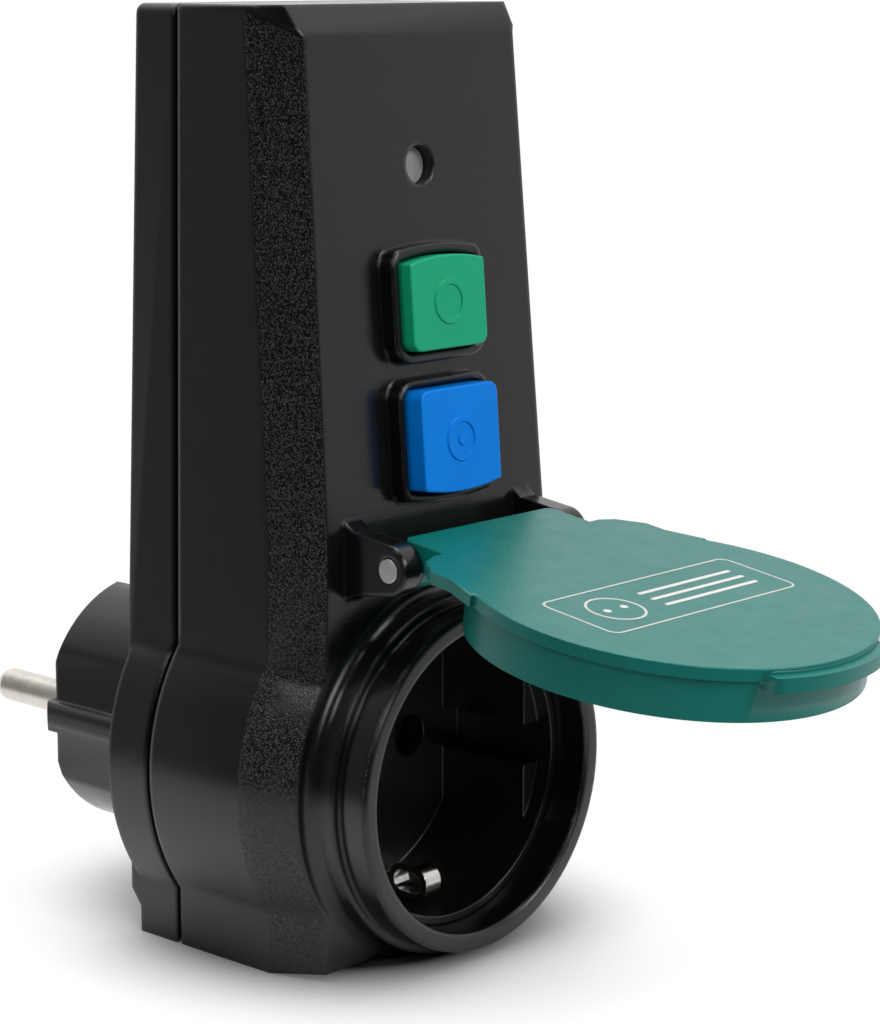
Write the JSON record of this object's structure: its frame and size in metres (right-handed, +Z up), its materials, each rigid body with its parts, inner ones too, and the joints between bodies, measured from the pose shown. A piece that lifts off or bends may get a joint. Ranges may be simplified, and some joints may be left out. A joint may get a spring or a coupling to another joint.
{
  "type": "rcd adapter plug",
  "caption": "Black plug-in residual-current adapter: earthed plug behind, socket with green flip lid in front, test and reset buttons on a tall tower.",
  "frame": {"origin": "centre between the two plug pins on the plug's end face", "axes": "+X to the right seen from the socket side, +Y along the plug pins into the wall socket, +Z up"},
  "size_m": [0.0588, 0.1461, 0.1262],
  "materials": {
    "black_shell": "satin",
    "black_front": "satin and grained",
    "black_insert": "satin",
    "black_rubber": "matte",
    "steel": "plain",
    "nickel": "plated",
    "bright_nickel": "plated",
    "brass": "plain",
    "copper": "plain",
    "board_green": "matte",
    "dark_plastic": "matte",
    "pale_plastic": "matte",
    "ochre_plastic": "gloss",
    "can_blue": "gloss",
    "disc_blue": "gloss",
    "tan_coat": "gloss",
    "ferrite": "matte",
    "reset_green": "satin",
    "test_blue": "satin",
    "lid_green": "fine grain",
    "clear_lens": "frosted"
  },
  "bodies": {
    "adapter_body": {"rear_housing": "black_shell", "front_housing": "black_front", "housing_seal": "black_rubber", "housing_screws": "steel", "live_pin": "nickel", "neutral_pin": "nickel", "upper_plug_earth_contact": "nickel", "lower_plug_earth_contact": "nickel", "earth_strap": "brass", "socket_insert": "black_insert", "socket_earth_bow": "bright_nickel", "live_socket_contact": "brass", "neutral_socket_contact": "brass", "circuit_board": "board_green", "board_screws": "steel", "reset_switch": "dark_plastic", "test_switch": "dark_plastic", "reset_spring": "steel", "test_spring": "steel", "button_seal": "black_rubber", "indicator_lens": "clear_lens", "indicator_led": "pale_plastic", "relay": "dark_plastic", "control_chip": "dark_plastic", "film_capacitor": "ochre_plastic", "storage_capacitor": "can_blue", "varistor": "disc_blue", "resistors": "tan_coat", "transformer_core": "ferrite", "transformer_winding": "copper", "live_feed": "copper", "neutral_feed": "copper", "live_load_bar": "copper", "neutral_load_bar": "copper", "hinge_pin": "steel"},
    "lid_body": {"lid": "lid_green", "lid_gasket": "black_rubber"},
    "reset_body": {"reset_button": "reset_green", "reset_plunger": "pale_plastic"},
    "test_body": {"test_button": "test_blue", "test_plunger": "pale_plastic"}
  },
  "joints": [
    {"name": "lid_hinge", "type": "hinge", "parent": "adapter_body", "child": "lid_body", "pos_m": [0, -0.0688, 0.0311], "axis": [1, 0, 0], "range_deg": [-60, 81.3]},
    {"name": "reset_press", "type": "slide", "parent": "adapter_body", "child": "reset_body", "axis": [0, 0.9973, -0.0741], "range_m": [0, 0.0015], "stiffness_N_per_m": 1500, "springref_m": -0.0005, "deforming": ["reset_spring"]},
    {"name": "test_press", "type": "slide", "parent": "adapter_body", "child": "test_body", "axis": [0, 0.9973, -0.0741], "range_m": [0, 0.0015], "stiffness_N_per_m": 1500, "springref_m": -0.0005, "deforming": ["test_spring"]}
  ]
}
